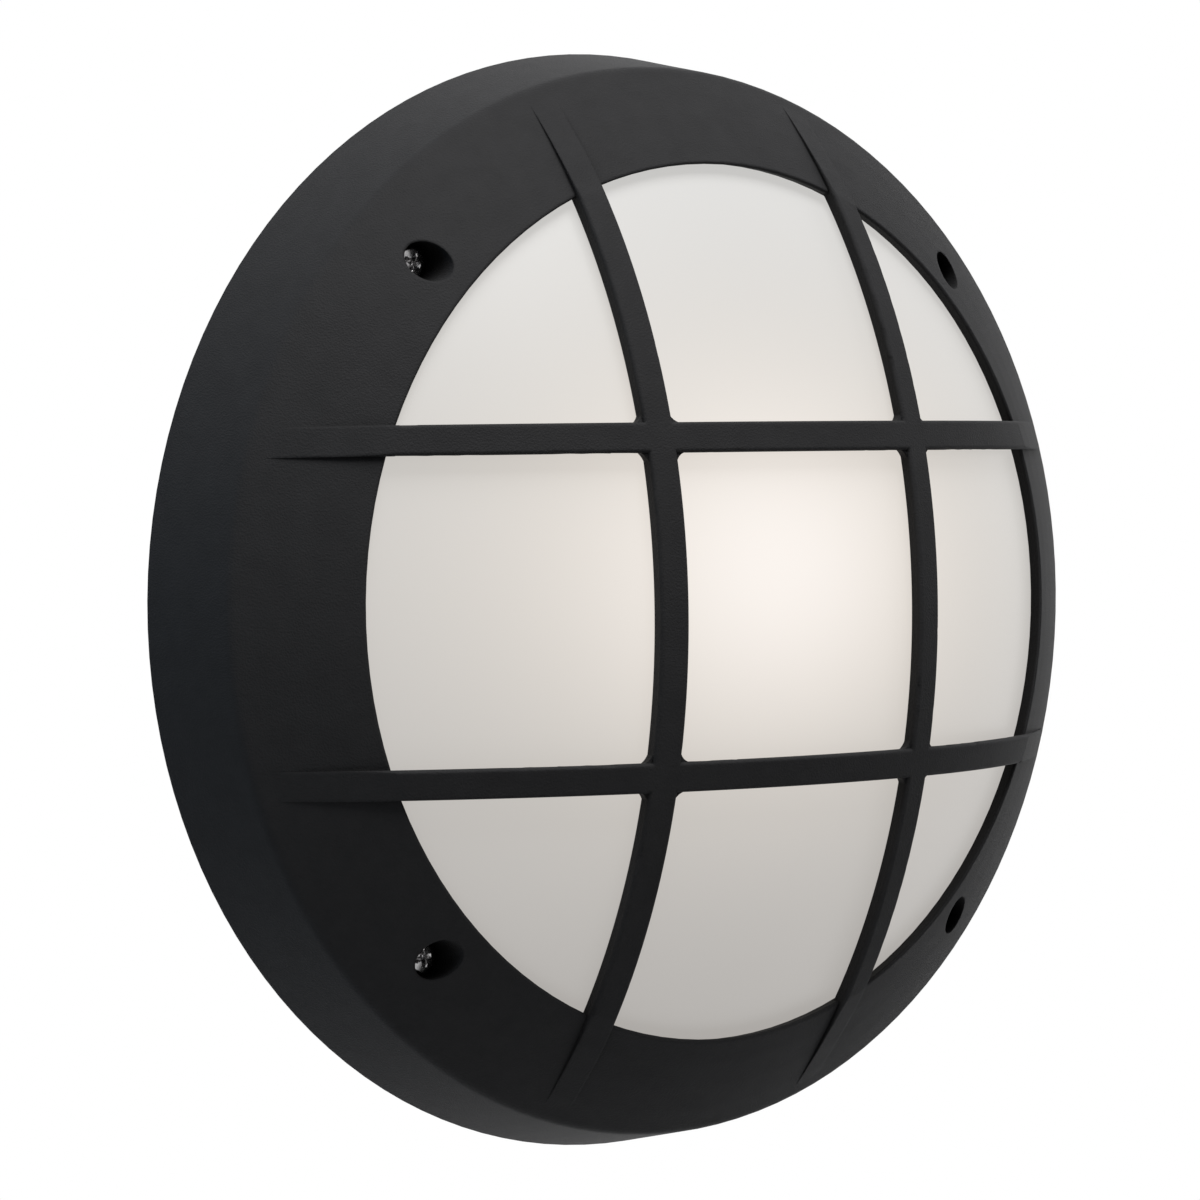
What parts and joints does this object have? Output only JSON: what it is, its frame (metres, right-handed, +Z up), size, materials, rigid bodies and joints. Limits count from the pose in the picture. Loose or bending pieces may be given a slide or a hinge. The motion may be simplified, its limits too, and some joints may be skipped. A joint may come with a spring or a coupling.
{
  "type": "bulkhead light",
  "caption": "Round wall bulkhead light with a domed bar guard over an opal bowl, a screw-cap lamp inside and a lift-off front cover.",
  "frame": {"origin": "middle of the back face, on the wall", "axes": "+Y into the wall, the front looks along -Y, +Z up, +X to the right seen from the front"},
  "size_m": [0.27, 0.0783, 0.27],
  "materials": {
    "guard_plastic": "moulded with a fine grain",
    "housing_plastic": "moulded, satin",
    "opal_plastic": "opal, satin",
    "stainless": "bright",
    "zinc_steel": "zinc plated",
    "brass": "plain",
    "nylon": "moulded",
    "porcelain": "white moulded, glossy",
    "seal_rubber": "soft matt",
    "black_rubber": "soft matt",
    "brown_insulation": "satin",
    "blue_insulation": "satin",
    "lamp_glass": "opal"
  },
  "bodies": {
    "housing": {"rear_housing": "housing_plastic", "seal_ring": "seal_rubber", "screw_inserts": "brass", "cable_grommet": "black_rubber", "lampholder_bracket": "zinc_steel", "bracket_screws": "zinc_steel", "lampholder_body": "porcelain", "lampholder_shell": "brass", "lampholder_contact": "brass", "lampholder_terminals": "brass", "lampholder_screws": "zinc_steel", "terminal_block": "nylon", "terminal_tubes": "brass", "terminal_screws": "zinc_steel", "terminal_block_screw": "zinc_steel", "lead_live": "brown_insulation", "lead_neutral": "blue_insulation"},
    "cover": {"front_guard": "guard_plastic", "diffuser_bowl": "opal_plastic", "cover_screws": "stainless", "captive_washers": "nylon"},
    "lamp": {"lamp": "lamp_glass"}
  },
  "joints": [
    {"name": "cover_lift", "type": "slide", "parent": "housing", "child": "cover", "axis": [0, -1, 0], "range_m": [0, 0.16]},
    {"name": "lamp_turn", "type": "hinge", "parent": "housing", "child": "lamp", "pos_m": [0, -0.038, 0], "axis": [0, 0, 1], "range_deg": [0, 1440]}
  ]
}
